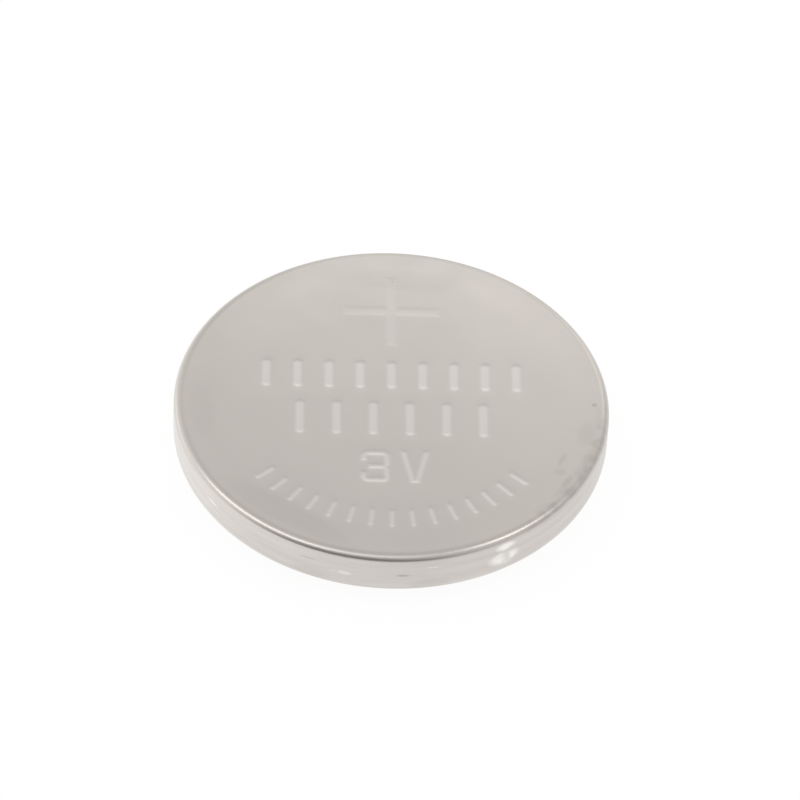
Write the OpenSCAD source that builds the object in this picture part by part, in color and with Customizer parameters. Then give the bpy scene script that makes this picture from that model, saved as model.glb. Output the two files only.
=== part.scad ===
// Lithium coin cell, lying on its negative cap with its positive face up.
// A drawn steel can is crimped over a moulded gasket onto a stepped steel cap. Between can and
// cap lie, from the top, the collector mesh, the cathode pellet, the separator and the anode.
// The origin is the centre of the cap's outer face, and +Z points out of the positive face.

/* [Cell] */
// Diameter over the can's wall
cell_d = 20; // [18:0.5:24.5]
// Height over both faces
cell_h = 3.2; // [2.8:0.1:5.4]

/* [Positive can] */
// Thickness of the can's steel
can_t = 0.25; // [0.2:0.01:0.3]
// Outside radius of the edge between face and wall
can_edge_r = 0.4; // [0.3:0.05:0.6]
// Height above the base at which the wall starts to bend in
crimp_z = 1.5; // [1.35:0.05:1.7]
// Outside radius of the crimp's bend
crimp_r = 0.7; // [0.6:0.05:0.9]
// Lean of the crimped edge from upright, in degrees
crimp_angle = 50; // [44:1:56]
// Height of the can's lip above the base
lip_z = 0.25; // [0.2:0.01:0.35]

/* [Sealing gasket] */
// Thickness of the gasket between the can's wall and the cap's skirt
gasket_wall_t = 0.35; // [0.25:0.05:0.5]
// Thickness of the gasket where the crimp squeezes it
gasket_crimp_t = 0.22; // [0.15:0.01:0.3]
// Thickness of the gasket's floor, above the skirt's end
gasket_floor_t = 0.3; // [0.2:0.05:0.5]
// Thickness of the short lip inside the skirt
gasket_lip_t = 0.3; // [0.2:0.05:0.4]
// Height of the short lip inside the skirt
gasket_lip_h = 0.7; // [0.3:0.05:0.9]
// Reach of the gasket's floor inwards from that lip
gasket_reach = 0.8; // [0.4:0.05:1.2]
// Distance from the gasket's folded end to the bend in the cap's neck
gasket_short = 0.05; // [0.02:0.01:0.1]

/* [Negative cap] */
// Thickness of the cap's steel
cap_t = 0.25; // [0.2:0.01:0.3]
// Gap between the can's lip and the cap's stepped face
cap_gap = 0.36; // [0.3:0.01:0.4]
// Outside radius of the stepped face's edge
cap_edge_r = 0.33; // [0.25:0.01:0.4]
// Outside radius of the neck, where the step turns into the shoulder
cap_neck_r = 0.15; // [0.1:0.01:0.2]
// Outside radius of the bend between shoulder and skirt
cap_bend_r = 0.35; // [0.25:0.05:0.5]

/* [Electrode stack] */
// Thickness of the lithium disc
anode_t = 0.6; // [0.3:0.05:0.8]
// Clearance around the lithium disc inside the cap's step
anode_clear = 0.35; // [0.2:0.05:1]
// Thickness of the separator
separator_t = 0.1; // [0.03:0.01:0.2]
// Clearance around the separator
separator_clear = 0.2; // [0.1:0.05:0.6]
// Clearance around the cathode pellet
pellet_clear = 0.3; // [0.1:0.05:1]
// Width of the pellet's chamfered edges
pellet_chamfer = 0.12; // [0.05:0.01:0.3]
// Thickness of the collector mesh
collector_t = 0.1; // [0.05:0.01:0.2]
// Distance of the collector's edge inside the pellet's
collector_inset = 0.4; // [0:0.1:1]
// Plain border around the collector's openings
collector_border = 0.4; // [0.2:0.1:1]
// Width of the collector's strands
strand_w = 0.3; // [0.15:0.05:0.4]
// Spacing of the collector's openings along their length
opening_pitch_x = 2.4; // [2:0.1:4]
// Spacing of the collector's openings across their length
opening_pitch_y = 1.3; // [1.2:0.1:2.5]

/* [Fits] */
// Clearance between can, gasket and cap
fit_gap = 0.01; // [0.005:0.005:0.03]
// Clearance between the pieces of the stack
stack_gap = 0.01; // [0.005:0.005:0.03]

/* [Marks on the positive face] */
// Depth of the pressed marks
mark_depth = 0.04; // [0.02:0.01:0.1]
// Length of the plus sign over its arms
plus_l = 4.5; // [3:0.1:5]
// Width of the plus sign's arms
plus_w = 0.5; // [0.3:0.05:1]
// Distance from the plus sign to the edge of the flat face
plus_margin = 1.55; // [1:0.05:1.6]
// Number of bars in the upper row
upper_bars = 9; // [3:1:10]
// Spacing of the upper row's bars
upper_pitch = 1.44; // [0.8:0.01:1.5]
// Height of the upper row's bars
upper_bar_h = 1.7; // [1:0.05:1.8]
// Distance of the upper row's middle from the axis
upper_y = 1.6; // [1.5:0.05:1.8]
// Number of bars in the lower row
lower_bars = 6; // [3:1:8]
// Spacing of the lower row's bars
lower_pitch = 1.68; // [0.8:0.01:2]
// Height of the lower row's bars
lower_bar_h = 2.05; // [1:0.05:2.2]
// Distance of the lower row's middle below the axis
lower_y = 1.2; // [1.2:0.05:1.5]
// Width of the bars in both rows
bar_w = 0.4; // [0.2:0.05:0.6]
// Height of the voltage mark
rating_h = 1.95; // [1.5:0.05:2.2]
// Width of each of its two characters
rating_w = 1.3; // [1.1:0.05:1.4]
// Gap between its two characters
rating_gap = 0.54; // [0.3:0.02:0.8]
// Width of its strokes
rating_stroke = 0.26; // [0.15:0.01:0.3]
// Outside radius of the numeral's corners
rating_corner = 0.36; // [0.32:0.01:0.45]
// Length of the numeral's hooked ends
rating_hook = 0.6; // [0.5:0.05:0.7]
// Distance of its middle to the right of the axis
rating_x = 0.08; // [-0.2:0.02:0.2]
// Distance of its middle below the axis
rating_y = 4.26; // [4:0.02:4.5]
// Number of ticks in the arc
ticks = 15; // [5:1:21]
// Angle that the arc of ticks spans, in degrees
tick_span = 100; // [60:5:120]
// Length of each tick
tick_l = 1; // [0.5:0.05:1]
// Width of each tick
tick_w = 0.22; // [0.1:0.01:0.3]
// Distance from the ticks to the edge of the flat face
tick_margin = 1.6; // [1:0.05:1.7]

/* [Hidden] */
$fn = 96;

// Flats that stand for the curve in each bend of a section
arc_steps = 12;

// Can: face radius, inside radius, the crimp bend's centre, and the inside edge's radius
face_r = cell_d / 2 - can_edge_r;
can_ri = cell_d / 2 - can_t;
crimp_c = [cell_d / 2 - crimp_r, crimp_z];
can_floor_z = cell_h - can_t;
can_edge_ri = max(can_edge_r - can_t, 0);

// Depths through the crimp, square to the can's leaning outer surface
gasket_out_k = can_t + fit_gap;
gasket_in_k = gasket_out_k + gasket_crimp_t;
cap_out_k = gasket_in_k + fit_gap;
cap_in_k = cap_out_k + cap_t;

// The lip, and the cap's step inside it
lip_s = (crimp_point(0)[1] - lip_z) / cos(crimp_angle);
cap_step_r = lean_point(can_t, lip_s)[0] - cap_gap;
cap_ri = cap_step_r - cap_t;
neck_c = [cap_step_r + cap_neck_r, lean_z(cap_out_k - cap_neck_r, cap_step_r + cap_neck_r)];
cap_edge_ro = min(cap_edge_r, neck_c[1]);
cap_edge_ri = max(cap_edge_ro - cap_t, 0);

// The cap's skirt, which stands in the gasket's groove
skirt_ro = can_ri - 2 * fit_gap - gasket_wall_t;
skirt_ri = skirt_ro - cap_t;
bend_c = [skirt_ro - cap_bend_r, lean_z(cap_out_k + cap_bend_r, skirt_ro - cap_bend_r)];
bend_ri = max(cap_bend_r - cap_t, 0);
bend_ic = [skirt_ri - bend_ri, lean_z(cap_in_k + bend_ri, skirt_ri - bend_ri)];

// The gasket's floor, inner lip and folded end
gasket_top_z = can_floor_z - fit_gap;
gasket_floor_z = gasket_top_z - gasket_floor_t;
gasket_edge_r = max(can_edge_ri - fit_gap, 0);
gasket_lip_ri = skirt_ri - fit_gap - gasket_lip_t;
gasket_floor_ri = gasket_lip_ri - gasket_reach;
neck_s = (crimp_point(cap_out_k)[0] - cap_step_r) / sin(crimp_angle) - cap_neck_r * tan(crimp_angle / 2);
gasket_end_s = neck_s - gasket_short;
skirt_top_z = gasket_floor_z - fit_gap;

// The stack, from the cap upwards: the pellet fills what the other pieces leave
anode_z = cap_t + stack_gap;
separator_z = anode_z + anode_t + stack_gap;
pellet_z = separator_z + separator_t + stack_gap;
collector_z = can_floor_z - stack_gap - collector_t;
pellet_h = collector_z - stack_gap - pellet_z;
anode_r = cap_ri - anode_clear;
separator_r = max(cap_ri, min(lean_r(cap_in_k, separator_z), gasket_lip_ri)) - separator_clear;
pellet_r = min(gasket_floor_ri, cap_ri) - pellet_clear;
collector_r = pellet_r - collector_inset;

// The collector's openings are rhombs on a staggered grid, narrowed by the strands between them
rhomb = [opening_pitch_x, opening_pitch_y] / 2;
rhomb_inradius = rhomb[0] * rhomb[1] / norm(rhomb);
opening = rhomb * (1 - strand_w / 2 / rhomb_inradius);

// Points of an arc about a centre. With no radius it is the centre itself, a sharp corner.
function arc(centre, r, from, to) = r == 0
    ? [centre]
    : [for (i = [0:arc_steps]) let (a = from + (to - from) * i / arc_steps) centre + r * [cos(a), sin(a)]];

// Where the crimp's bend ends and its straight lean begins, at depth k
function crimp_point(k) = crimp_c + (crimp_r - k) * [cos(crimp_angle), -sin(crimp_angle)];

// The point a distance s down the lean, at depth k
function lean_point(k, s) = crimp_point(k) - s * [sin(crimp_angle), cos(crimp_angle)];

// Height of the lean at radius r, and its radius at height z, at depth k
function lean_z(k, r) = crimp_point(k)[1] + (r - crimp_point(k)[0]) / tan(crimp_angle);
function lean_r(k, z) = crimp_point(k)[0] + (z - crimp_point(k)[1]) * tan(crimp_angle);

// A straight stroke with round ends, centred, standing along Y
module stroke(length, width) {
    square([width, length - width], center = true);
    for (end = [-1, 1]) {
        translate([0, end * (length - width) / 2]) circle(d = width);
    }
}

module plus_mark() {
    square([plus_w, plus_l], center = true);
    square([plus_l, plus_w], center = true);
}

module bar_row(count, pitch, height) {
    for (i = [0:count - 1]) {
        translate([(i - (count - 1) / 2) * pitch, 0]) stroke(height, bar_w);
    }
}

// A centred rectangle with rounded corners
module round_rect(width, height, r) {
    square([width - 2 * r, height], center = true);
    square([width, height - 2 * r], center = true);
    for (x = [-1, 1], y = [-1, 1]) {
        translate([x * (width / 2 - r), y * (height / 2 - r)]) circle(r);
    }
}

// The numeral three: two squarish loops, cut open on the left from the middle to their hooked ends
module three_mark() {
    loop_h = (rating_h + rating_stroke) / 2;
    for (side = [-1, 1]) {
        translate([0, side * (loop_h - rating_stroke) / 2]) difference() {
            round_rect(rating_w, loop_h, rating_corner);
            round_rect(
                rating_w - 2 * rating_stroke, loop_h - 2 * rating_stroke, rating_corner - rating_stroke
            );
            translate([-rating_w * 3 / 4, -side * rating_hook])
                square([rating_w, loop_h], center = true);
        }
    }
}

// The volt sign: two strokes that lean together to a flat foot
module volt_mark() {
    half_w = rating_w / 2;
    half_h = rating_h / 2;
    foot = rating_stroke / 2;
    crotch_y = half_h - rating_h * (half_w - rating_stroke) / (half_w - foot);
    polygon([
        [-half_w, half_h], [rating_stroke - half_w, half_h], [0, crotch_y],
        [half_w - rating_stroke, half_h], [half_w, half_h], [foot, -half_h], [-foot, -half_h]
    ]);
}

module tick_arc() {
    for (i = [0:ticks - 1]) {
        rotate((i / (ticks - 1) - 0.5) * tick_span)
            translate([0, tick_margin + tick_l / 2 - face_r]) stroke(tick_l, tick_w);
    }
}

module face_marks() {
    translate([0, face_r - plus_margin - plus_l / 2]) plus_mark();
    translate([0, upper_y]) bar_row(upper_bars, upper_pitch, upper_bar_h);
    translate([0, -lower_y]) bar_row(lower_bars, lower_pitch, lower_bar_h);
    translate([rating_x - (rating_w + rating_gap) / 2, -rating_y]) three_mark();
    translate([rating_x + (rating_w + rating_gap) / 2, -rating_y]) volt_mark();
    tick_arc();
}

// Drawn from steel sheet, with its open edge crimped in under the cell
module positive_can() {
    edge_c = [face_r, cell_h - can_edge_r];
    edge_ic = [can_ri - can_edge_ri, can_floor_z - can_edge_ri];
    color([0.72, 0.71, 0.69]) difference() {
        rotate_extrude() polygon(concat(
            [[0, cell_h]],
            arc(edge_c, can_edge_r, 90, 0),
            arc(crimp_c, crimp_r, 0, -crimp_angle),
            [lean_point(0, lip_s), lean_point(can_t, lip_s)],
            arc(crimp_c, crimp_r - can_t, -crimp_angle, 0),
            arc(edge_ic, can_edge_ri, 0, 90),
            [[0, can_floor_z]]
        ));
        translate([0, 0, cell_h - mark_depth]) linear_extrude(2 * mark_depth) face_marks();
    }
}

// Moulded ring with a groove for the cap's skirt, folded in with the crimp
module sealing_gasket() {
    edge_c = [can_ri - fit_gap - gasket_edge_r, gasket_top_z - gasket_edge_r];
    color([0.80, 0.80, 0.76]) rotate_extrude() polygon(concat(
        [[gasket_floor_ri, gasket_top_z]],
        arc(edge_c, gasket_edge_r, 90, 0),
        arc(crimp_c, crimp_r - gasket_out_k, 0, -crimp_angle),
        [lean_point(gasket_out_k, gasket_end_s), lean_point(gasket_in_k, gasket_end_s)],
        arc(bend_c, cap_bend_r + fit_gap, -crimp_angle, 0),
        [
            [skirt_ro + fit_gap, gasket_floor_z],
            [skirt_ri - fit_gap, gasket_floor_z],
            [skirt_ri - fit_gap, gasket_floor_z - gasket_lip_h],
            [gasket_lip_ri, gasket_floor_z - gasket_lip_h],
            [gasket_lip_ri, gasket_floor_z],
            [gasket_floor_ri, gasket_floor_z]
        ]
    ));
}

// Pressed from steel sheet: a stepped face, a leaning shoulder and an upright skirt
module negative_cap() {
    edge_c = [cap_step_r - cap_edge_ro, cap_edge_ro];
    edge_ic = [cap_ri - cap_edge_ri, cap_t + cap_edge_ri];
    color([0.66, 0.65, 0.63]) rotate_extrude() polygon(concat(
        [[0, 0]],
        arc(edge_c, cap_edge_ro, -90, 0),
        arc(neck_c, cap_neck_r, 180, 180 - crimp_angle),
        arc(bend_c, cap_bend_r, -crimp_angle, 0),
        [[skirt_ro, skirt_top_z], [skirt_ri, skirt_top_z]],
        arc(bend_ic, bend_ri, 0, -crimp_angle),
        arc(neck_c, cap_neck_r + cap_t, 180 - crimp_angle, 180),
        arc(edge_ic, cap_edge_ri, 0, -90),
        [[0, cap_t]]
    ));
}

// Punched from rolled lithium and pressed against the cap
module lithium_anode() {
    color([0.75, 0.76, 0.78]) translate([0, 0, anode_z]) cylinder(r = anode_r, h = anode_t);
}

// Non-woven disc, wider than both electrodes so that they can't touch
module separator() {
    color([0.93, 0.93, 0.90]) translate([0, 0, separator_z]) cylinder(r = separator_r, h = separator_t);
}

// Pressed powder tablet with chamfered edges
module cathode_pellet() {
    top_z = pellet_z + pellet_h;
    color([0.13, 0.13, 0.13]) rotate_extrude() polygon([
        [0, pellet_z],
        [pellet_r - pellet_chamfer, pellet_z],
        [pellet_r, pellet_z + pellet_chamfer],
        [pellet_r, top_z - pellet_chamfer],
        [pellet_r - pellet_chamfer, top_z],
        [0, top_z]
    ]);
}

// Expanded steel disc against the can's floor
module collector_mesh() {
    columns = ceil(collector_r / opening_pitch_x);
    rows = ceil(collector_r / opening_pitch_y);
    open_r = collector_r - collector_border - opening[0];
    color([0.60, 0.60, 0.60]) translate([0, 0, collector_z]) linear_extrude(collector_t) difference() {
        circle(collector_r);
        for (stagger = [0, 0.5], i = [-columns:columns], j = [-rows:rows]) {
            centre = [(i + stagger) * opening_pitch_x, (j + stagger) * opening_pitch_y];
            if (norm(centre) < open_r) {
                translate(centre)
                    polygon([[opening[0], 0], [0, opening[1]], [-opening[0], 0], [0, -opening[1]]]);
            }
        }
    }
}

positive_can();
sealing_gasket();
negative_cap();
lithium_anode();
separator();
cathode_pellet();
collector_mesh();
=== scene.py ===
import math

import bmesh
import bpy
import numpy as np
from mathutils import Matrix, Vector


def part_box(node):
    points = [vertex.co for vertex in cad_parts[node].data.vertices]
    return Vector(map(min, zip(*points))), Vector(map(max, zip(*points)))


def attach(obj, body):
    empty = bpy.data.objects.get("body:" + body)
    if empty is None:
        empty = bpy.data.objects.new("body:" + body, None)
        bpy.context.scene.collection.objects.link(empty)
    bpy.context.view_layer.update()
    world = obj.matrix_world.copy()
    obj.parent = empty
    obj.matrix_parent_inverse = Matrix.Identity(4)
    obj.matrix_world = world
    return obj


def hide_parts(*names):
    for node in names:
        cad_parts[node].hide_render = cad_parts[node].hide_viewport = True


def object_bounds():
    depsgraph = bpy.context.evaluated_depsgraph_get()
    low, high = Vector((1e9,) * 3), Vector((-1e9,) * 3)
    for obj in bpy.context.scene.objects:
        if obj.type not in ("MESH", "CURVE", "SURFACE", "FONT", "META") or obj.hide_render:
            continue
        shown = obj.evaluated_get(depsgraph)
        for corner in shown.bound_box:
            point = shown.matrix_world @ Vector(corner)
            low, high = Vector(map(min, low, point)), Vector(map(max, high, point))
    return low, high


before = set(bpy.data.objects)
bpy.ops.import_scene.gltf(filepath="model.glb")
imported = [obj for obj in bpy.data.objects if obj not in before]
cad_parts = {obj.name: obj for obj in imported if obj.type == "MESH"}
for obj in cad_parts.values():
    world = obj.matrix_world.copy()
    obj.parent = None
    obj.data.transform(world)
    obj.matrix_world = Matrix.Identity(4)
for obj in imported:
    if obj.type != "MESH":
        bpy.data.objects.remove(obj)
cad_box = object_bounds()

# ---------------------------------------------------------------------------------------------
# Camera. A long lens looks down on the positive face from the front, held a little out of level.
# The cell stands left of the middle of the view, so the camera is moved aside without turning.
# ---------------------------------------------------------------------------------------------
# A millimetre in metres. Sizes with no MM beside them are in millimetres.
MM = 0.001
VIEW_AZIMUTH = math.radians(-2.5)
VIEW_ELEVATION = math.radians(45.03)
VIEW_ROLL = math.radians(3.22)
VIEW_DISTANCE = 240 * MM
VIEW_ASIDE = (0.373 * MM, 0.008 * MM)
VIEW_UNDER_TOP = 0.05 * MM
LENS = 235.49

view_back = Vector((
    math.sin(VIEW_AZIMUTH) * math.cos(VIEW_ELEVATION),
    -math.cos(VIEW_AZIMUTH) * math.cos(VIEW_ELEVATION),
    math.sin(VIEW_ELEVATION),
))
level_right = Vector((math.cos(VIEW_AZIMUTH), math.sin(VIEW_AZIMUTH), 0))
view_right = Matrix.Rotation(VIEW_ROLL, 3, view_back) @ level_right
view_up = view_back.cross(view_right)
view_aim = Vector((0, 0, cad_box[1].z - VIEW_UNDER_TOP))

camera = bpy.data.objects.new("camera", bpy.data.cameras.new("camera"))
bpy.context.scene.collection.objects.link(camera)
bpy.context.scene.camera = camera
camera.data.sensor_width = 36
camera.data.lens = LENS
camera.data.clip_start = 10 * MM
camera.data.clip_end = 3
bpy.context.scene.view_settings.view_transform = "Standard"
camera.matrix_world = Matrix.Translation(
    view_aim + view_back * VIEW_DISTANCE + view_right * VIEW_ASIDE[0] + view_up * VIEW_ASIDE[1]
) @ Matrix((view_right, view_up, view_back)).transposed().to_4x4()


# ---------------------------------------------------------------------------------------------
# Table. A white sheet that lights itself for the eye and in the metal, so that it stays white,
# and keeps a share of its plain matt surface, so that the cell's soft shadow shows on it. The
# metal mirrors it a little brighter on the left.
# ---------------------------------------------------------------------------------------------
def linear(hex_colour):
    """An sRGB colour such as "8A8A8A" as linear red, green, blue and alpha."""
    parts = [int(hex_colour[i:i + 2], 16) / 255 for i in (0, 2, 4)]
    return tuple(p / 12.92 if p <= 0.04045 else ((p + 0.055) / 1.055) ** 2.4 for p in parts) + (1,)


def add_node(tree, kind, sockets=None, **settings):
    """Adds a shader node. A socket takes a value, another node's output, or a node's first one."""
    new = tree.nodes.new("ShaderNode" + kind)
    for name, value in settings.items():
        setattr(new, name, value)
    for name, value in (sockets or {}).items():
        if isinstance(value, bpy.types.Node):
            value = value.outputs[0]
        if isinstance(value, bpy.types.NodeSocket):
            tree.links.new(value, new.inputs[name])
        else:
            new.inputs[name].default_value = value
    return new


def new_material(name):
    """A material with nothing in its shader tree yet, and that tree."""
    material = bpy.data.materials.new(name)
    material.use_nodes = True
    material.node_tree.nodes.clear()
    return material, material.node_tree


def place_mesh(name, shape):
    """Turns a finished bmesh into a smooth-shaded object at the origin."""
    mesh = bpy.data.meshes.new(name)
    shape.to_mesh(mesh)
    shape.free()
    mesh.shade_smooth()
    piece = bpy.data.objects.new(name, mesh)
    bpy.context.scene.collection.objects.link(piece)
    return piece


TABLE_HALF = 1200
TABLE_UNDER_CELL = 0.01
TABLE_WHITE = "F4F4F3"
TABLE_GLOW = 0.94
TABLE_MATT_SHARE = 0.08
TABLE_LEFT_GAIN = 1.16
TABLE_LEFT_FROM, TABLE_LEFT_TO = -4, -11

sheet = bmesh.new()
bmesh.ops.create_grid(sheet, x_segments=4, y_segments=4, size=TABLE_HALF * MM)
bmesh.ops.translate(sheet, verts=sheet.verts, vec=(0, 0, cad_box[0].z - TABLE_UNDER_CELL * MM))
table = place_mesh("table", sheet)

# Matt white paper: even and white, with no sheen
table_paper, tree = new_material("matt_white_paper")
ray = add_node(tree, "LightPath")
seen = ray.outputs["Is Camera Ray"]
for kind in ("Is Glossy Ray", "Is Transmission Ray"):
    seen = add_node(tree, "Math", {0: seen, 1: ray.outputs[kind]}, operation="MAXIMUM")
where = add_node(tree, "TexCoord").outputs["Object"]
axis = add_node(tree, "SeparateXYZ", {0: where})
left = add_node(tree, "MapRange", {
    "Value": axis.outputs["X"], "From Min": TABLE_LEFT_FROM * MM, "From Max": TABLE_LEFT_TO * MM,
    "To Min": 1, "To Max": TABLE_LEFT_GAIN,
}, interpolation_type="SMOOTHSTEP")
gain = add_node(tree, "Mix", {0: ray.outputs["Is Camera Ray"], 2: left, 3: 1}, data_type="FLOAT")
gain = add_node(tree, "Math", {0: gain, 1: TABLE_GLOW}, operation="MULTIPLY")
glow = add_node(tree, "Emission", {"Color": (1, 1, 1, 1), "Strength": gain})
dark = add_node(tree, "Emission", {"Color": (0, 0, 0, 1), "Strength": 0})
matt = add_node(tree, "BsdfDiffuse", {"Color": linear(TABLE_WHITE)})
thin = add_node(tree, "MixShader", {0: TABLE_MATT_SHARE, 1: dark, 2: matt})
shown = add_node(tree, "AddShader", {0: glow, 1: thin})
paper = add_node(tree, "MixShader", {0: seen, 1: matt, 2: shown})
add_node(tree, "OutputMaterial", {"Surface": paper})
table.data.materials.append(table_paper)

# ---------------------------------------------------------------------------------------------
# Light. A white tent stands round the table, darker at its top and its right, and dark where it
# opens in front. Two long soft lamps hang high on the left and right, and a weaker one between
# them. A small lamp stands behind the cell, and another low on its left.
# ---------------------------------------------------------------------------------------------
TENT_LOW_LEVEL, TENT_TOP_LEVEL = 0.98, 0.73
TENT_LEFT_GAIN, TENT_RIGHT_GAIN = 1.06, 0.74
OPENING_LEVEL = 0.185
OPENING_TOWARDS = (-0.25, -0.97, 0)
# Where each change of the tent starts and ends, as a share of a direction of length 1
TENT_DARKENS = (0.48, 0.88)
TENT_LEFT, TENT_RIGHT = (-0.35, -0.9), (0.4, 0.9)
OPENING_SIDES = (0.3, 0.95)
OPENING_FOOT = (-0.02, 0.04)
OPENING_TOP = (0.74, 0.6)

tent = bpy.data.worlds.new("white_tent")
bpy.context.scene.world = tent
tent.use_nodes = True
tree = tent.node_tree
tree.nodes.clear()
towards = add_node(tree, "TexCoord").outputs["Generated"]
axis = add_node(tree, "SeparateXYZ", {0: towards})
wall_level = add_node(tree, "MapRange", {
    "Value": axis.outputs["Z"], "From Min": TENT_DARKENS[0], "From Max": TENT_DARKENS[1],
    "To Min": TENT_LOW_LEVEL, "To Max": TENT_TOP_LEVEL,
}, interpolation_type="SMOOTHSTEP")
for (start, end), gain in ((TENT_LEFT, TENT_LEFT_GAIN), (TENT_RIGHT, TENT_RIGHT_GAIN)):
    side = add_node(tree, "MapRange", {
        "Value": axis.outputs["X"], "From Min": start, "From Max": end,
        "To Min": 1, "To Max": gain,
    }, interpolation_type="SMOOTHSTEP")
    wall_level = add_node(tree, "Math", {0: wall_level, 1: side}, operation="MULTIPLY")
front = add_node(tree, "VectorMath", {0: towards, 1: OPENING_TOWARDS}, operation="DOT_PRODUCT")
front = add_node(tree, "MapRange", {
    "Value": front.outputs["Value"], "From Min": OPENING_SIDES[0], "From Max": OPENING_SIDES[1],
}, interpolation_type="SMOOTHSTEP")
above_table = add_node(tree, "MapRange", {
    "Value": axis.outputs["Z"], "From Min": OPENING_FOOT[0], "From Max": OPENING_FOOT[1]})
under_lamps = add_node(tree, "MapRange", {
    "Value": axis.outputs["Z"], "From Min": OPENING_TOP[0], "From Max": OPENING_TOP[1],
}, interpolation_type="SMOOTHSTEP")
opening = add_node(tree, "Math", {0: front, 1: above_table}, operation="MULTIPLY")
opening = add_node(tree, "Math", {0: opening, 1: under_lamps}, operation="MULTIPLY")
level = add_node(tree, "Mix", {0: opening, 2: wall_level, 3: OPENING_LEVEL}, data_type="FLOAT")
cloth = add_node(tree, "Background", {"Color": (1, 1, 1, 1), "Strength": level})
white = add_node(tree, "Background", {"Color": (1, 1, 1, 1), "Strength": 1})
ray = add_node(tree, "LightPath")
sky = add_node(tree, "MixShader", {0: ray.outputs["Is Camera Ray"], 1: cloth, 2: white})
add_node(tree, "OutputWorld", {"Surface": sky})


def soft_lamp(name, place, along, size, radiance):
    """A rectangular soft lamp that faces the cell, with its length along a direction."""
    lamp = bpy.data.lights.new(name, "AREA")
    lamp.shape = "RECTANGLE"
    lamp.size, lamp.size_y = size[0] * MM, size[1] * MM
    lamp.energy = radiance * math.pi * lamp.size * lamp.size_y
    holder = bpy.data.objects.new(name, lamp)
    bpy.context.scene.collection.objects.link(holder)
    away = Vector(place).normalized()
    across = away.cross(Vector(along)).normalized()
    turn = Matrix((across.cross(away), across, away)).transposed()
    holder.matrix_world = Matrix.Translation(Vector(place) * MM) @ turn.to_4x4()
    holder.visible_camera = False


# Each lamp's place, the direction of its length, its length and breadth, and how bright it is
soft_lamp("left_lamp", (-193, -50, 224), (-0.58, 0.69, -0.37), (264, 80), 1.4)
soft_lamp("right_lamp", (171, -41, 243), (0.31, 0.32, -0.16), (126, 80), 1.85)
soft_lamp("middle_lamp", (-28, -115, 277), (1, 0, 0), (176, 70), 0.9)
soft_lamp("back_lamp", (15, 53, 32), (1, 0, 0), (54, 27), 0.39)
soft_lamp("low_left_lamp", (-150, 85, 14), (0, 0, 1), (50, 90), 0.5)

# ---------------------------------------------------------------------------------------------
# Positive can. A cup drawn from thin stainless steel sheet, nickel plated, with the marks pressed
# into its face by a punch before the cup is filled. Its open edge is then rolled in under the
# cell and squeezes the gasket against the cap, which holds the whole cell together.
# ---------------------------------------------------------------------------------------------
can_low, can_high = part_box("positive_can")
CAN_R = round(can_high.x / MM, 3)
CAN_TOP = round(can_high.z / MM, 3)
CAN_LIP_Z = round(can_low.z / MM, 3)
SHEET = 0.25
CAN_EDGE_R = 0.4
CRIMP_Z = 1.5
CRIMP_R = 0.7
CRIMP_ANGLE = 50
CORNER_R = 0.04
FACE_R = CAN_R - CAN_EDGE_R
CAN_FLOOR_Z = CAN_TOP - SHEET

# The face sinks by a dome over its whole radius, and by a soft fall over the outer part of it
DOME = 0.012
FALL, FALL_FROM, FALL_RUN = 0.011, 7.75, 1.5
# The face's grid, how near the edge of a mark its cells are halved once and twice, and the rings
# that the sheet passes through where it runs straight
GRID_R, GRID_CELLS = 8.8, 88
FINER_WITHIN = (0.24, 0.13)
FACE_RINGS = (9.0, 9.2, 9.4, 9.5)
WALL_RINGS = (2.6, 2.4, 2.2, 2.0, 1.8, 1.65)
FLOOR_RINGS = (6, 1)
LIP_RING = 0.3

# How deep the marks are pressed, how far outside and inside its edge a mark's slope starts and
# ends, and how much and how far the face round a mark is pulled down with it
MARK_DEPTH, MARK_SLOPE = 0.012, (0.08, -0.12)
PLUS_DEPTH, PLUS_SLOPE = 0.006, (0.10, -0.16)
MARK_PULL, MARK_PULL_REACH = 0.006, 0.25
# The plus sign's floor is painted with less sheen than the other marks', and least at its far end
PLUS_SHINE, PLUS_SHINE_LOSS = 0.3, 0.6
PLUS_LOSS_FROM, PLUS_LOSS_RUN = 6.2, 1.6

# Middle, length and width of the plus sign
PLUS = (0, 5.8, 4.5, 0.5)
# Number, spacing, height and middle of each row of bars
UPPER_BARS = (9, 1.44, 1.7, 1.6)
LOWER_BARS = (6, 1.68, 2.05, -1.2)
BAR_W = 0.4
# Middle of the rating, and the sizes of its numeral and letter
RATING = (0.15, -4.26)
RATING_H, RATING_W, RATING_GAP = 1.95, 1.3, 0.5
RATING_STROKE, RATING_CORNER, RATING_HOOK = 0.26, 0.36, 0.6
RATING_FOOT = 0.2
# The arc of ticks: how many, over how many degrees, how wide, and from which radius to which
TICKS, TICK_SPAN, TICK_W = 15, 100, 0.22
TICK_R = (7.0, 8.0)


def bend(centre, radius, start, end, steps):
    """Points of an arc in a section, in millimetres, from one angle to another."""
    turns = [math.radians(start + (end - start) * i / steps) for i in range(steps + 1)]
    return [(centre[0] + radius * math.cos(t), centre[1] + radius * math.sin(t)) for t in turns]


def lean(depth, along):
    """The point a distance down the crimp's straight lean, at a depth under its outer surface."""
    t = math.radians(CRIMP_ANGLE)
    r = CAN_R - CRIMP_R + (CRIMP_R - depth) * math.cos(t) - along * math.sin(t)
    return r, CRIMP_Z - (CRIMP_R - depth) * math.sin(t) - along * math.cos(t)


def to_segment(x, y, ax, ay, bx, by):
    """Distance of each point from a straight line between two ends."""
    dx, dy = bx - ax, by - ay
    t = np.clip(((x - ax) * dx + (y - ay) * dy) / (dx * dx + dy * dy), 0, 1)
    return np.hypot(x - ax - t * dx, y - ay - t * dy)


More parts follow.
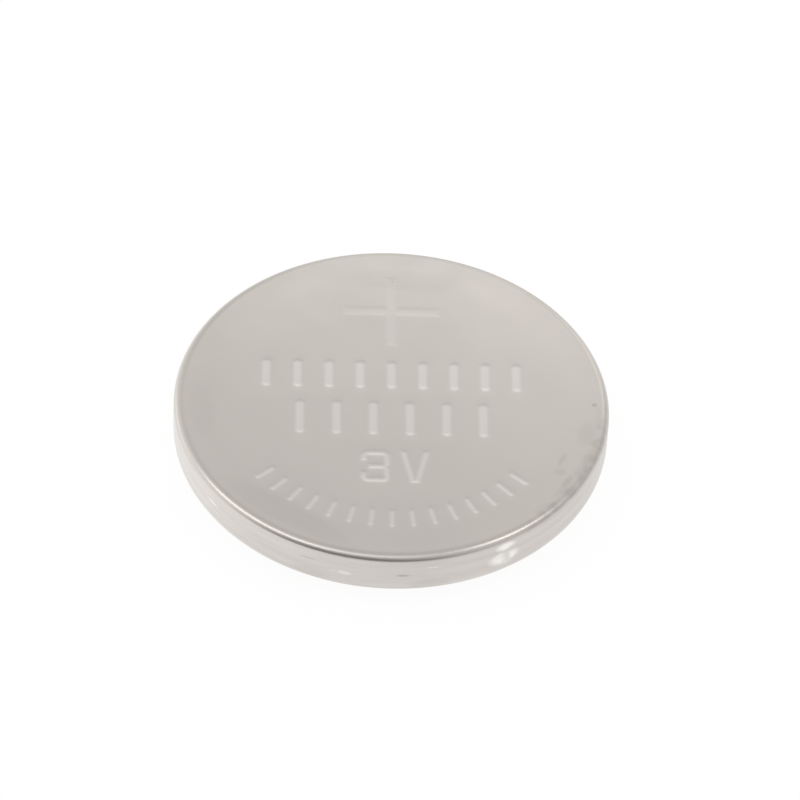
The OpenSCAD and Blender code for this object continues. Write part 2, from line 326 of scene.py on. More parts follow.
def to_box(x, y, ax, ay, bx, by):
    """Distance of each point from an upright rectangle, negative inside it."""
    qx = np.abs(x - (ax + bx) / 2) - (bx - ax) / 2
    qy = np.abs(y - (ay + by) / 2) - (by - ay) / 2
    return np.hypot(np.maximum(qx, 0), np.maximum(qy, 0)) + np.minimum(np.maximum(qx, qy), 0)


def to_outline(x, y, corners):
    """Distance of each point from a closed outline, negative inside it."""
    nearest = np.full_like(x, 1e9)
    inside = np.zeros(x.shape, bool)
    for (ax, ay), (bx, by) in zip(corners, corners[1:] + corners[:1]):
        nearest = np.minimum(nearest, to_segment(x, y, ax, ay, bx, by))
        if ay != by:
            inside ^= ((ay > y) != (by > y)) & (x < ax + (y - ay) * (bx - ax) / (by - ay))
    return np.where(inside, -nearest, nearest)


def to_plus(x, y):
    """Distance of each point of the face from the edge of the plus sign."""
    cx, cy, length, width = PLUS
    return np.minimum(
        to_box(x, y, cx - width / 2, cy - length / 2, cx + width / 2, cy + length / 2),
        to_box(x, y, cx - length / 2, cy - width / 2, cx + length / 2, cy + width / 2),
    )


def to_marks(x, y):
    """Distance of each point of the face from the edge of the nearest of the other marks."""
    d = np.full_like(x, 1e9)
    for count, pitch, height, middle in (UPPER_BARS, LOWER_BARS):
        reach = (height - BAR_W) / 2
        for i in range(count):
            bx = (i - (count - 1) / 2) * pitch
            d = np.minimum(d, to_segment(x, y, bx, middle - reach, bx, middle + reach) - BAR_W / 2)
    for i in range(TICKS):
        t = math.radians((i / (TICKS - 1) - 0.5) * TICK_SPAN)
        a, b = TICK_R[0] + TICK_W / 2, TICK_R[1] - TICK_W / 2
        sx, sy = math.sin(t), -math.cos(t)
        d = np.minimum(d, to_segment(x, y, a * sx, a * sy, b * sx, b * sy) - TICK_W / 2)
    # The numeral is two rounded loops, one over the other, with a piece cut out on the left
    w, h, s = RATING_W / 2, RATING_H / 2, RATING_STROKE
    shift = (RATING_W + RATING_GAP) / 2
    tx, ty = x - RATING[0] + shift, y - RATING[1]
    loop_h = (RATING_H + s) / 2
    turn = RATING_CORNER - s / 2
    half_w, half_h = w - s / 2 - turn, loop_h / 2 - s / 2 - turn
    for side in (-1, 1):
        ly = ty - side * (loop_h - s) / 2
        loop = np.abs(to_box(tx, ly, -half_w, -half_h, half_w, half_h) - turn) - s / 2
        cut_y = -side * RATING_HOOK
        cut = to_box(tx, ly, -2.5 * w, cut_y - loop_h / 2, -0.5 * w, cut_y + loop_h / 2)
        d = np.minimum(d, np.maximum(loop, -cut))
    # The letter is one outline, with a flat foot
    foot = RATING_FOOT
    crotch = h - 2 * h * (w - s) / (w - foot)
    volt = [(-w, h), (s - w, h), (0, crotch), (w - s, h), (w, h), (foot, -h), (-foot, -h)]
    return np.minimum(d, to_outline(x - RATING[0] - shift, y - RATING[1], volt))


def ease(t):
    """Runs smoothly from 0 to 1 as t does."""
    t = np.clip(t, 0, 1)
    return t * t * (3 - 2 * t)


def face_fall(r):
    """How far the face lies under its middle at a radius."""
    return DOME * (r / FACE_R) ** 2 + FALL * ease((r - FALL_FROM) / FALL_RUN)


# The face: a grid drawn into a disc, with finer cells along the edges of the marks
can = bmesh.new()
bmesh.ops.create_grid(can, x_segments=GRID_CELLS, y_segments=GRID_CELLS, size=1)
for v in can.verts:
    x, y = v.co.x, v.co.y
    v.co = Vector((x * math.sqrt(1 - y * y / 2), y * math.sqrt(1 - x * x / 2), 0)) * GRID_R * MM
for reach in FINER_WITHIN:
    x, y, _ = np.array([f.calc_center_median() for f in can.faces]).T / MM
    near = np.minimum(np.abs(to_plus(x, y)), np.abs(to_marks(x, y))) < reach
    cut = dict.fromkeys(e for f, is_near in zip(can.faces, near) if is_near for e in f.edges)
    bmesh.ops.subdivide_edges(can, edges=list(cut), cuts=1, use_grid_fill=True)
x, y, _ = np.array([v.co for v in can.verts]).T / MM
mark_gap, plus_gap = to_marks(x, y), to_plus(x, y)
pressed = ease((MARK_SLOPE[0] - mark_gap) / (MARK_SLOPE[0] - MARK_SLOPE[1]))
plus_pressed = ease((PLUS_SLOPE[0] - plus_gap) / (PLUS_SLOPE[0] - PLUS_SLOPE[1]))
sunk = MARK_DEPTH * pressed + MARK_PULL * np.exp(-np.maximum(mark_gap, 0) / MARK_PULL_REACH)
sunk += PLUS_DEPTH * plus_pressed + face_fall(np.hypot(x, y))
for v, depth in zip(can.verts, sunk):
    v.co.z = (CAN_TOP - depth) * MM
# How much lighter each place is painted, a painted sheen on the marks' floors
sheen_layer = can.verts.layers.float.new("pressed")
plus_loss = PLUS_SHINE_LOSS * ease((y - PLUS_LOSS_FROM) / PLUS_LOSS_RUN)
plus_shine = PLUS_SHINE * plus_pressed * (1 - plus_loss)
for v, amount in zip(can.verts, np.maximum(pressed, plus_shine)):
    v[sheen_layer] = amount

# The rest of the cup: the boundary of the face is drawn out along the section of the sheet
lip_along = (lean(0, 0)[1] - CAN_LIP_Z) / math.cos(math.radians(CRIMP_ANGLE))
lip_out, lip_in = lean(0, lip_along), lean(SHEET, lip_along)
crimp_middle = (CAN_R - CRIMP_R, CRIMP_Z)
edge_middle = (FACE_R, CAN_TOP - CAN_EDGE_R)
section = [(r, CAN_TOP - face_fall(r)) for r in FACE_RINGS]
section += [(r, z - face_fall(FACE_R) * ease((z - edge_middle[1]) / CAN_EDGE_R))
            for r, z in bend(edge_middle, CAN_EDGE_R, 90, 0, 14)]
section += [(CAN_R, z) for z in WALL_RINGS]
section += bend(crimp_middle, CRIMP_R, 0, -CRIMP_ANGLE, 12)
# The lip is cut level, and each of its two corners is rounded by three points
section += [
    lean(0, lip_along - LIP_RING),
    lean(0, lip_along - CORNER_R),
    (lip_out[0] - 0.3 * CORNER_R, lip_out[1] + 0.25 * CORNER_R),
    (lip_out[0] - CORNER_R, lip_out[1]),
    (lip_in[0] + CORNER_R, lip_in[1]),
    (lip_in[0] + 0.2 * CORNER_R, lip_in[1] + 0.3 * CORNER_R),
    lean(SHEET, lip_along - CORNER_R),
]
section += bend(crimp_middle, CRIMP_R - SHEET, -CRIMP_ANGLE, 0, 8)
section += bend(edge_middle, CAN_EDGE_R - SHEET, 0, 90, 6)
section += [(r, CAN_FLOOR_Z) for r in FLOOR_RINGS]
rim = [e for e in can.edges if e.is_boundary]
for r, z in section:
    drawn = bmesh.ops.extrude_edge_only(can, edges=rim)["geom"]
    rim = [g for g in drawn if isinstance(g, bmesh.types.BMEdge) and g.is_boundary]
    rim_verts = list(dict.fromkeys(v for e in rim for v in e.verts))
    for v in rim_verts:
        flat = Vector((v.co.x, v.co.y, 0)).normalized() * r
        v.co = Vector((flat.x, flat.y, z)) * MM
bmesh.ops.pointmerge(can, verts=rim_verts, merge_co=(0, 0, CAN_FLOOR_Z * MM))
bmesh.ops.recalc_face_normals(can, faces=can.faces)
can_piece = place_mesh("positive_can_shell", can)

# Nickel-plated stainless steel, dull rolled: a warm light grey with a soft, even sheen, clouded
# with a thin tarnish and painted lighter towards the right as painted light. The drawn wall is a
# little lighter, with faint streaks round it, and the marks' floors are burnished by the punch and
# painted lighter as a sheen. Handling has left dull smudges on the face, its rim and the wall, and
# one bright scuffed patch and a few short scuffs on the wall. Painted shade darkens the far edge.
NICKEL = ("CEC8C2", "C6C1BB")
WALL_NICKEL = ("D2CDC8", "CBC5C0")
SHEEN_NICKEL = "E6E2DE"
SMUDGE_AND_SHADE = "9C9690"
SCUFF = "FCFAF7"
# Widths of the clouds, the wall's streaks, the mottling of dirt and scuffs, and the grain. The
# streaks are a fourteenth as high. Real grain is finer than a tenth of a millimetre, and is drawn
# at about that width so that it shows.
CLOUD, STREAK, MOTTLE, GRAIN = 3.125, 3.846, 0.5263, 0.1111
# Where the wall's finish starts under the top, and where the face's painted light towards the
# right starts and ends
WALL_FROM, WALL_TO = 0.15, 0.4
PAINTED_LIGHT_FROM, PAINTED_LIGHT_TO = 1, 7
# The dirty part of the rim: from which radius, and how far towards the right
RIM_FROM, RIM_TO = 9.1, 9.6
RIGHT_TOWARDS, RIGHT_FROM, RIGHT_TO = (0.9, -0.44, 0), 8.2, 9.4
# The ring of painted shade where the bend starts, which is strongest along the far side
RING_INSIDE, RING_OUTSIDE = (9.5, 9.64), (9.84, 9.72)
FAR_FROM, FAR_TO = -1, 7
# Each mark's angle from the front, radius and height, its half length, breadth and height, and
# its strength
SMUDGES = (
    (89.9, 9.30, 3.2, (0.17, 0.17, 0.3), 0.42),
    (65, 8.52, 3.2, (0.62, 0.16, 0.3), 0.18),
    (60.3, 8.78, 3.2, (0.30, 0.34, 0.3), 0.15),
    (58, 9.35, 3.2, (0.60, 0.22, 0.3), 0.25),
    (-34, 8.7, 3.2, (4.4, 1.0, 0.4), 0.125),
    (-84, 8.7, 3.2, (2.4, 0.8, 0.4), 0.06),
    (177, 7.95, 3.2, (4.0, 0.9, 0.4), 0.09),
    (78, 9.1, 3.2, (1.1, 0.6, 0.4), 0.12),
    (10, 10, 1.4, (1.3, 0.50, 0.45), 0.14),
    (-21, 10, 1.5, (1.2, 0.50, 0.45), 0.12),
    (179.6, 7.8, 3.2, (0.10, 0.10, 0.3), 0.35),
    (2.9, 10, 2.08, (0.40, 0.30, 0.09), 0.55),
    (-22, 10, 2.35, (0.50, 0.30, 0.06), 0.35),
)
SCUFFS = (
    (30.8, 10, 2.66, (0.66, 0.50, 0.30), 0.8),
    (30.6, 10, 1.98, (1.00, 0.50, 0.50), 0.74),
    (-54, 10, 2.25, (0.50, 0.30, 0.10), 0.45),
    (-13, 10, 1.95, (0.70, 0.40, 0.16), 0.35),
    (11, 10, 2.5, (0.50, 0.40, 0.06), 0.5),
)


def patches(tree, where, marks):
    """How far each place lies inside the nearest of some soft patches, times its strength."""
    most = None
    for angle, r, z, size, strength in marks:
        turn = math.radians(angle)
        centre = Vector((r * math.sin(turn), -r * math.cos(turn), z)) * MM
        spot = add_node(tree, "Mapping", {
            "Vector": where, "Location": centre, "Rotation": (0, 0, turn),
            "Scale": Vector(size) * MM,
        }, vector_type="TEXTURE")
        spot = add_node(tree, "TexGradient", {0: spot}, gradient_type="SPHERICAL").outputs["Fac"]
        spot = add_node(tree, "MapRange", {"Value": spot, "From Max": 0.6, "To Max": strength},
                        interpolation_type="SMOOTHSTEP")
        most = spot if most is None else add_node(
            tree, "Math", {0: most, 1: spot}, operation="MAXIMUM")
    return most


can_steel, tree = new_material("nickel_plated_steel_dull_rolled")
where = add_node(tree, "TexCoord").outputs["Object"]
axis = add_node(tree, "SeparateXYZ", {0: where})
level_part = add_node(tree, "VectorMath", {0: where, 1: (1, 1, 0)}, operation="MULTIPLY")
radius = add_node(tree, "VectorMath", {0: level_part}, operation="LENGTH").outputs["Value"]

# The clouded face with its painted light on the right, the streaked wall and the marks' painted
# sheen
cloud = add_node(tree, "TexNoise", {
    "Vector": where, "Scale": 1 / (CLOUD * MM), "Detail": 3, "Roughness": 0.55}).outputs["Fac"]
# Painted light: the face's tone is made lighter towards the right
painted_right_light = add_node(tree, "MapRange", {
    "Value": axis.outputs["X"], "From Min": PAINTED_LIGHT_FROM * MM, "From Max": PAINTED_LIGHT_TO * MM,
    "To Max": 0.4,
}, interpolation_type="SMOOTHSTEP")
tarnish_and_painted_light = add_node(tree, "Math", {0: cloud, 1: painted_right_light}, operation="SUBTRACT", use_clamp=True)
face_tone = add_node(tree, "Mix", {0: tarnish_and_painted_light, 6: linear(NICKEL[0]), 7: linear(NICKEL[1])},
                     data_type="RGBA").outputs[2]
round_wall = add_node(tree, "Mapping", {"Vector": where, "Scale": (1, 1, 14)})
streaks = add_node(tree, "TexNoise", {
    "Vector": round_wall, "Scale": 1 / (STREAK * MM), "Detail": 4}).outputs["Fac"]
streak = add_node(tree, "MapRange", {"Value": streaks, "From Min": 0.35, "From Max": 0.65})
wall_tone = add_node(tree, "Mix", {
    0: streak, 6: linear(WALL_NICKEL[0]), 7: linear(WALL_NICKEL[1]),
}, data_type="RGBA").outputs[2]
on_wall = add_node(tree, "MapRange", {
    "Value": axis.outputs["Z"], "From Min": (CAN_TOP - WALL_FROM) * MM,
    "From Max": (CAN_TOP - WALL_TO) * MM})
tone = add_node(tree, "Mix", {0: on_wall, 6: face_tone, 7: wall_tone},
                data_type="RGBA").outputs[2]
# Painted sheen: the floors of the marks are painted lighter
sheen_amount = add_node(tree, "Attribute", attribute_name="pressed", attribute_type="GEOMETRY")
painted_sheen = add_node(tree, "Math", {0: sheen_amount.outputs["Fac"], 1: 0.42}, operation="MULTIPLY")
tone = add_node(tree, "Mix", {0: painted_sheen, 6: tone, 7: linear(SHEEN_NICKEL)},
                data_type="RGBA").outputs[2]

# Dirt mottled along the rim's right side and in smudges, and painted shade even along the far edge
mottle = add_node(tree, "TexNoise", {
    "Vector": where, "Scale": 1 / (MOTTLE * MM), "Detail": 3}).outputs["Fac"]
rim_band = add_node(tree, "MapRange", {
    "Value": radius, "From Min": RIM_FROM * MM, "From Max": RIM_TO * MM,
}, interpolation_type="SMOOTHSTEP")
rightwards = add_node(tree, "VectorMath", {0: where, 1: RIGHT_TOWARDS}, operation="DOT_PRODUCT")
right_side = add_node(tree, "MapRange", {
    "Value": rightwards.outputs["Value"], "From Min": RIGHT_FROM * MM, "From Max": RIGHT_TO * MM,
}, interpolation_type="SMOOTHSTEP")
off_wall = add_node(tree, "Math", {0: 1, 1: on_wall}, operation="SUBTRACT")
rim_dirt = add_node(tree, "MapRange", {
    "Value": mottle, "From Min": 0.38, "From Max": 0.6, "To Min": 0.03, "To Max": 0.27})
for share in (rim_band, right_side, off_wall):
    rim_dirt = add_node(tree, "Math", {0: rim_dirt, 1: share}, operation="MULTIPLY")
# Painted shade: a darker ring where the bend starts, strongest along the far side
ring_shade = add_node(tree, "MapRange", {
    "Value": axis.outputs["Y"], "From Min": FAR_FROM * MM, "From Max": FAR_TO * MM,
    "To Min": 0.04, "To Max": 0.36,
}, interpolation_type="SMOOTHSTEP")
for unshaded_r, shaded_r in (RING_INSIDE, RING_OUTSIDE):
    share = add_node(tree, "MapRange", {
        "Value": radius, "From Min": unshaded_r * MM, "From Max": shaded_r * MM,
    }, interpolation_type="SMOOTHSTEP")
    ring_shade = add_node(tree, "Math", {0: ring_shade, 1: share}, operation="MULTIPLY")
dirt_and_shade = patches(tree, where, SMUDGES)
for other in (rim_dirt, ring_shade):
    dirt_and_shade = add_node(tree, "Math", {0: dirt_and_shade, 1: other}, operation="MAXIMUM")
tone = add_node(tree, "Mix", {0: dirt_and_shade, 6: tone, 7: linear(SMUDGE_AND_SHADE)}, data_type="RGBA").outputs[2]

# Scuffs, which are mottled and rougher
mottled = add_node(tree, "MapRange", {
    "Value": mottle, "From Min": 0.38, "From Max": 0.58, "To Min": 0.25})
scuffed = add_node(tree, "Math", {0: patches(tree, where, SCUFFS), 1: mottled},
                   operation="MULTIPLY")
tone = add_node(tree, "Mix", {0: scuffed, 6: tone, 7: linear(SCUFF)}, data_type="RGBA").outputs[2]

grain = add_node(tree, "TexNoise", {
    "Vector": where, "Scale": 1 / (GRAIN * MM), "Detail": 2}).outputs["Fac"]
rough = add_node(tree, "MapRange", {
    "Value": cloud, "From Min": 0.3, "From Max": 0.7, "To Min": 0.28, "To Max": 0.33})
rough = add_node(tree, "Mix", {0: scuffed, 2: rough, 3: 0.45}, data_type="FLOAT")
height = add_node(tree, "Math", {0: grain, 1: dirt_and_shade}, operation="SUBTRACT")
bump = add_node(tree, "Bump", {"Height": height, "Strength": 0.05, "Distance": 0.02 * MM})
steel = add_node(tree, "BsdfPrincipled", {
    "Base Color": tone, "Metallic": 1, "Roughness": rough, "Normal": bump})
add_node(tree, "OutputMaterial", {"Surface": steel})
can_piece.data.materials.append(can_steel)
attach(can_piece, "root")
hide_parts("positive_can")


# ---------------------------------------------------------------------------------------------
# Collector mesh. A disc punched from stainless steel that was slit and pulled open into rhombs.
# It is welded to the can's floor and bites into the pellet, which joins the two.
# ---------------------------------------------------------------------------------------------
def dress(node, material):
    """Gives a node of the frame its finish, with its shape as it is."""
    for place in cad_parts[node].material_slots:
        place.material = material


# Expanded stainless steel: bare bright strands with fine draw lines along them, 0.67 mm long and
# 0.06 mm wide
STRAND_STEEL = ("B4B1AC", "9D9A96")
DRAW_LINE = 0.6667
collector_steel, tree = new_material("expanded_stainless_steel")
where = add_node(tree, "TexCoord").outputs["Object"]
along = add_node(tree, "Mapping", {"Vector": where, "Scale": (1, 12, 12)})
lines = add_node(tree, "TexNoise", {
    "Vector": along, "Scale": 1 / (DRAW_LINE * MM), "Detail": 3}).outputs["Fac"]
tone = add_node(tree, "Mix", {0: lines, 6: linear(STRAND_STEEL[0]), 7: linear(STRAND_STEEL[1])},
                data_type="RGBA").outputs[2]
rough = add_node(tree, "MapRange", {
    "Value": lines, "From Min": 0.3, "From Max": 0.7, "To Min": 0.22, "To Max": 0.34})
bump = add_node(tree, "Bump", {"Height": lines, "Strength": 0.2, "Distance": 0.02 * MM})
steel = add_node(tree, "BsdfPrincipled", {
    "Base Color": tone, "Metallic": 1, "Roughness": rough, "Normal": bump})
add_node(tree, "OutputMaterial", {"Surface": steel})
dress("collector_mesh", collector_steel)

# ---------------------------------------------------------------------------------------------
# Cathode pellet. Manganese dioxide powder mixed with carbon and a binder, pressed in a die into a
# tablet with chamfered edges. It drops into the can on top of the collector.
# ---------------------------------------------------------------------------------------------
# Pressed powder: near black and matt, a little uneven where the mix was, with a few glints of
# graphite. Its grains are finer than a tenth of a millimetre and are drawn at about that width.
PELLET_BLACK = ("1F1F20", "353433")
GRAPHITE = "4E4E50"
POWDER_GRAIN, POWDER_PATCH = 0.08333, 1.111
GLINTS_ABOVE = 0.97
pellet_powder, tree = new_material("pressed_manganese_dioxide_powder")
where = add_node(tree, "TexCoord").outputs["Object"]
grains = add_node(tree, "TexVoronoi", {"Vector": where, "Scale": 1 / (POWDER_GRAIN * MM)})
uneven = add_node(tree, "TexNoise", {
    "Vector": where, "Scale": 1 / (POWDER_PATCH * MM), "Detail": 4}).outputs["Fac"]
tone = add_node(tree, "Mix", {0: uneven, 6: linear(PELLET_BLACK[0]), 7: linear(PELLET_BLACK[1])},
                data_type="RGBA").outputs[2]
flakes = add_node(tree, "SeparateXYZ", {0: grains.outputs["Color"]})
glint = add_node(tree, "Math", {0: flakes.outputs["X"], 1: GLINTS_ABOVE},
                 operation="GREATER_THAN")
tone = add_node(tree, "Mix", {0: glint, 6: tone, 7: linear(GRAPHITE)},
                data_type="RGBA").outputs[2]
rough = add_node(tree, "MapRange", {"Value": glint, "To Min": 0.82, "To Max": 0.35})
bump = add_node(tree, "Bump", {
    "Height": grains.outputs["Distance"], "Strength": 0.5, "Distance": 0.03 * MM})
powder = add_node(tree, "BsdfPrincipled", {
    "Base Color": tone, "Roughness": rough, "Normal": bump})
add_node(tree, "OutputMaterial", {"Surface": powder})
dress("cathode_pellet", pellet_powder)

# ---------------------------------------------------------------------------------------------
# Separator. A disc of non-woven polypropylene, punched wider than both electrodes and laid
# between them, where it soaks up the electrolyte.
# ---------------------------------------------------------------------------------------------
# Non-woven polypropylene: white and matt, felted from fibres that cross in three directions. Real
# ones are about 0.01 mm wide, and they are drawn 0.1 mm wide and 0.9 mm long so that they show.
FLEECE = ("F0F0EC", "D3D3CC")
FIBRE_LENGTH, FIBRE_TURNS = 0.9091, (0.2, 1.1, 2.3)
separator_fleece, tree = new_material("non_woven_polypropylene")
where = add_node(tree, "TexCoord").outputs["Object"]
fibres = None
for turn in FIBRE_TURNS:
    lay = add_node(tree, "Mapping", {
        "Vector": where, "Rotation": (0, 0, turn), "Scale": (1, 9, 1)})
    strand = add_node(tree, "TexNoise", {
        "Vector": lay, "Scale": 1 / (FIBRE_LENGTH * MM), "Detail": 2, "Distortion": 0.6,
    }).outputs["Fac"]
    fibres = strand if fibres is None else add_node(
        tree, "Math", {0: fibres, 1: strand}, operation="MAXIMUM")
felt = add_node(tree, "MapRange", {"Value": fibres, "From Min": 0.45, "From Max": 0.7})
tone = add_node(tree, "Mix", {0: felt, 6: linear(FLEECE[1]), 7: linear(FLEECE[0])},
                data_type="RGBA").outputs[2]
bump = add_node(tree, "Bump", {"Height": felt, "Strength": 0.6, "Distance": 0.04 * MM})
fleece = add_node(tree, "BsdfPrincipled", {"Base Color": tone, "Roughness": 0.9, "Normal": bump})
add_node(tree, "OutputMaterial", {"Surface": fleece})
dress("separator", separator_fleece)

# ---------------------------------------------------------------------------------------------
# Lithium anode. A disc punched from rolled lithium ribbon and pressed into the cap, where the
# soft metal sticks to the steel by itself.
# ---------------------------------------------------------------------------------------------
# Rolled lithium: soft silver grey, with streaks 2.8 mm long and 0.1 mm wide along the rolling, and
# darker tarnished clouds about 4 mm wide
LITHIUM = ("BFC1C6", "8D8F96")
ROLLING_STREAK, TARNISH_CLOUD = 1.667, 3.846
lithium, tree = new_material("rolled_lithium")
where = add_node(tree, "TexCoord").outputs["Object"]
rolled = add_node(tree, "Mapping", {"Vector": where, "Scale": (0.6, 14, 14)})
streaks = add_node(tree, "TexNoise", {
    "Vector": rolled, "Scale": 1 / (ROLLING_STREAK * MM), "Detail": 3}).outputs["Fac"]
clouds = add_node(tree, "TexNoise", {
    "Vector": where, "Scale": 1 / (TARNISH_CLOUD * MM), "Detail": 5}).outputs["Fac"]
dullness = add_node(tree, "Math", {0: streaks, 1: clouds}, operation="MULTIPLY")
dullness = add_node(tree, "MapRange", {"Value": dullness, "From Min": 0.15, "From Max": 0.38})
tone = add_node(tree, "Mix", {0: dullness, 6: linear(LITHIUM[0]), 7: linear(LITHIUM[1])},
                data_type="RGBA").outputs[2]
rough = add_node(tree, "MapRange", {"Value": dullness, "To Min": 0.34, "To Max": 0.52})
bump = add_node(tree, "Bump", {"Height": streaks, "Strength": 0.25, "Distance": 0.03 * MM})
metal = add_node(tree, "BsdfPrincipled", {
    "Base Color": tone, "Metallic": 1, "Roughness": rough, "Normal": bump})
add_node(tree, "OutputMaterial", {"Surface": metal})
dress("lithium_anode", lithium)

# ---------------------------------------------------------------------------------------------
# Negative cap. Pressed from nickel-plated stainless steel sheet: a stepped face, which the cell
# rests on, a shoulder that the crimp holds down, and a skirt that stands in the gasket's groove.
# ---------------------------------------------------------------------------------------------
cap_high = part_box("negative_cap")[1]
SKIRT_R = round(cap_high.x / MM, 3)
SKIRT_TOP = round(cap_high.z / MM, 3)
# The joints are pressed tight, and are drawn with a hair's gap between the pieces
FIT = 0.01
CRIMPED_GASKET = 0.22
STEP_INSIDE_LIP = 0.36
STEP_R = lip_in[0] - STEP_INSIDE_LIP
STEP_EDGE_R = 0.33
NECK_R = 0.15
SHOULDER_R = 0.35
SKIRT_INNER_R = 0.1
TURN_STEPS = 192
EASED = 0.03
cap_out = SHEET + CRIMPED_GASKET + 2 * FIT
cap_in = cap_out + SHEET


def lean_height(depth, r):
    """Height at which the crimp's straight lean passes a radius, at a depth under its surface."""
    start = lean(depth, 0)
    return start[1] + (r - start[0]) / math.tan(math.radians(CRIMP_ANGLE))


def turned(outline, corner):
    """Turns a section about the axis and eases its corners.

    A ring stands 2.5 eased widths in from each end of a long straight, which keeps its flat flat.
    """
    section = []
    for (ar, az), (br, bz) in zip(outline, outline[1:] + outline[:1]):
        section.append((ar, az))
        length = math.hypot(br - ar, bz - az)
        if length > 6 * corner and ar + br > 0:
            for t in (2.5 * corner / length, 1 - 2.5 * corner / length):
                section.append((ar + (br - ar) * t, az + (bz - az) * t))
    shape = bmesh.new()
    verts = [shape.verts.new((r * MM, 0, z * MM)) for r, z in section]
    for a, b in zip(verts, verts[1:] + verts[:1]):
        if a.co.x + b.co.x > 0:
            shape.edges.new((a, b))
    bmesh.ops.spin(shape, geom=shape.verts[:] + shape.edges[:], cent=(0, 0, 0), axis=(0, 0, 1),
                   dvec=(0, 0, 0), angle=math.tau, steps=TURN_STEPS, use_merge=True,
                   use_duplicate=False)
    bmesh.ops.remove_doubles(shape, verts=shape.verts, dist=0.001 * MM)
    bmesh.ops.recalc_face_normals(shape, faces=shape.faces)
    sharp = [e for e in shape.edges if e.calc_face_angle(0) > math.radians(35)]
    bmesh.ops.bevel(shape, geom=sharp, offset=corner * MM, segments=3, profile=0.5, material=-1,
                    affect="EDGES")
    return shape


neck = (STEP_R + NECK_R, lean_height(cap_out - NECK_R, STEP_R + NECK_R))
shoulder = (SKIRT_R - SHOULDER_R, lean_height(cap_out + SHOULDER_R, SKIRT_R - SHOULDER_R))
inner_r = SKIRT_R - SHEET - SKIRT_INNER_R
inner_shoulder = (inner_r, lean_height(cap_in + SKIRT_INNER_R, inner_r))
step_edge = (STEP_R - STEP_EDGE_R, STEP_EDGE_R)
cap_section = [(0, 0)]
cap_section += bend(step_edge, STEP_EDGE_R, -90, 0, 10)
cap_section += bend(neck, NECK_R, 180, 180 - CRIMP_ANGLE, 6)
cap_section += bend(shoulder, SHOULDER_R, -CRIMP_ANGLE, 0, 8)
cap_section += [(SKIRT_R, SKIRT_TOP), (SKIRT_R - SHEET, SKIRT_TOP)]
cap_section += bend(inner_shoulder, SKIRT_INNER_R, 0, -CRIMP_ANGLE, 5)
cap_section += bend(neck, NECK_R + SHEET, 180 - CRIMP_ANGLE, 180, 8)
cap_section += bend(step_edge, STEP_EDGE_R - SHEET, 0, -90, 5)
cap_section += [(0, SHEET)]
cap_piece = place_mesh("negative_cap_pressing", turned(cap_section, EASED))

# Nickel-plated stainless steel: the same light grey, faintly clouded, with the straight lay of the
# rolling in its sheen. The lay's lines are drawn 1.1 mm long and 0.1 mm wide so that they show.
CAP_NICKEL = ("C9C3BD", "BCB7B1")
ROLLING_LINE, CAP_CLOUD = 1.111, 3.333
cap_steel, tree = new_material("nickel_plated_steel_pressed")
where = add_node(tree, "TexCoord").outputs["Object"]
rolled = add_node(tree, "Mapping", {"Vector": where, "Scale": (1, 10, 1)})
lay = add_node(tree, "TexNoise", {
    "Vector": rolled, "Scale": 1 / (ROLLING_LINE * MM), "Detail": 3}).outputs["Fac"]
cloud = add_node(tree, "TexNoise", {
    "Vector": where, "Scale": 1 / (CAP_CLOUD * MM), "Detail": 3}).outputs["Fac"]
tone = add_node(tree, "Mix", {0: cloud, 6: linear(CAP_NICKEL[0]), 7: linear(CAP_NICKEL[1])},
                data_type="RGBA").outputs[2]
rough = add_node(tree, "MapRange", {
    "Value": lay, "From Min": 0.3, "From Max": 0.7, "To Min": 0.26, "To Max": 0.34})
bump = add_node(tree, "Bump", {"Height": lay, "Strength": 0.1, "Distance": 0.02 * MM})
steel = add_node(tree, "BsdfPrincipled", {
    "Base Color": tone, "Metallic": 1, "Roughness": rough, "Normal": bump})
add_node(tree, "OutputMaterial", {"Surface": steel})
cap_piece.data.materials.append(cap_steel)
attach(cap_piece, "root")
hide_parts("negative_cap")

# ---------------------------------------------------------------------------------------------
# Sealing gasket. A polypropylene ring, injection moulded with a groove for the cap's skirt. The
# crimp folds it in under the cap's shoulder, where its edge shows as a thin pale ring.
# ---------------------------------------------------------------------------------------------
GASKET_FLOOR = 0.3
GASKET_LIP_W, GASKET_LIP_H = 0.3, 0.7
GASKET_REACH = 0.8
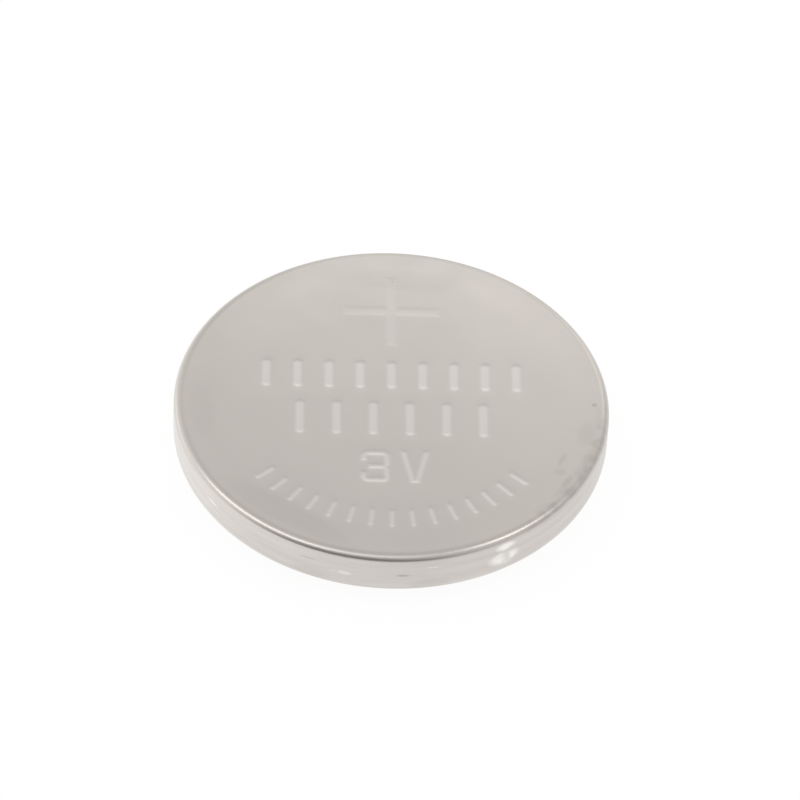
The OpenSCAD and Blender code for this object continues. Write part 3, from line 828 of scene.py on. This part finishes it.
# The folded end stops just short of the cap's neck
GASKET_SHORT = 0.05
gasket_top = CAN_FLOOR_Z - FIT
groove_top = gasket_top - GASKET_FLOOR
gasket_edge_r = CAN_EDGE_R - SHEET - FIT
gasket_r = CAN_R - SHEET - FIT
skirt_in = SKIRT_R - SHEET - FIT
lip_inner_r = skirt_in - GASKET_LIP_W
fold_end = (lean(cap_out, 0)[0] - STEP_R) / math.sin(math.radians(CRIMP_ANGLE))
fold_end -= NECK_R * math.tan(math.radians(CRIMP_ANGLE / 2)) + GASKET_SHORT
gasket_edge = (gasket_r - gasket_edge_r, gasket_top - gasket_edge_r)
gasket_section = [(lip_inner_r - GASKET_REACH, gasket_top)]
gasket_section += bend(gasket_edge, gasket_edge_r, 90, 0, 6)
gasket_section += bend(crimp_middle, CRIMP_R - SHEET - FIT, 0, -CRIMP_ANGLE, 10)
gasket_section += [lean(SHEET + FIT, fold_end), lean(SHEET + FIT + CRIMPED_GASKET, fold_end)]
gasket_section += bend(shoulder, SHOULDER_R + FIT, -CRIMP_ANGLE, 0, 8)
gasket_section += [
    (SKIRT_R + FIT, groove_top),
    (skirt_in, groove_top),
    (skirt_in, groove_top - GASKET_LIP_H),
    (lip_inner_r, groove_top - GASKET_LIP_H),
    (lip_inner_r, groove_top),
    (lip_inner_r - GASKET_REACH, groove_top),
]
gasket_piece = place_mesh("sealing_gasket_moulding", turned(gasket_section, EASED))

# Moulded polypropylene: milky white, slightly see-through, with a soft waxy gloss and faint flow
# marks about 2 mm wide
MILKY = ("DEDDD6", "D2D1C9")
FLOW_MARK = 2
gasket_plastic, tree = new_material("moulded_polypropylene")
where = add_node(tree, "TexCoord").outputs["Object"]
flow = add_node(tree, "TexNoise", {
    "Vector": where, "Scale": 1 / (FLOW_MARK * MM), "Detail": 3}).outputs["Fac"]
tone = add_node(tree, "Mix", {0: flow, 6: linear(MILKY[0]), 7: linear(MILKY[1])},
                data_type="RGBA").outputs[2]
rough = add_node(tree, "MapRange", {
    "Value": flow, "From Min": 0.3, "From Max": 0.7, "To Min": 0.38, "To Max": 0.5})
bump = add_node(tree, "Bump", {"Height": flow, "Strength": 0.1, "Distance": 0.05 * MM})
plastic = add_node(tree, "BsdfPrincipled", {
    "Base Color": tone, "Roughness": rough, "Normal": bump, "IOR": 1.49,
    "Subsurface Weight": 0.3, "Subsurface Radius": (0.9, 0.9, 0.8), "Subsurface Scale": 0.3 * MM,
})
add_node(tree, "OutputMaterial", {"Surface": plastic})
gasket_piece.data.materials.append(gasket_plastic)
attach(gasket_piece, "root")
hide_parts("sealing_gasket")
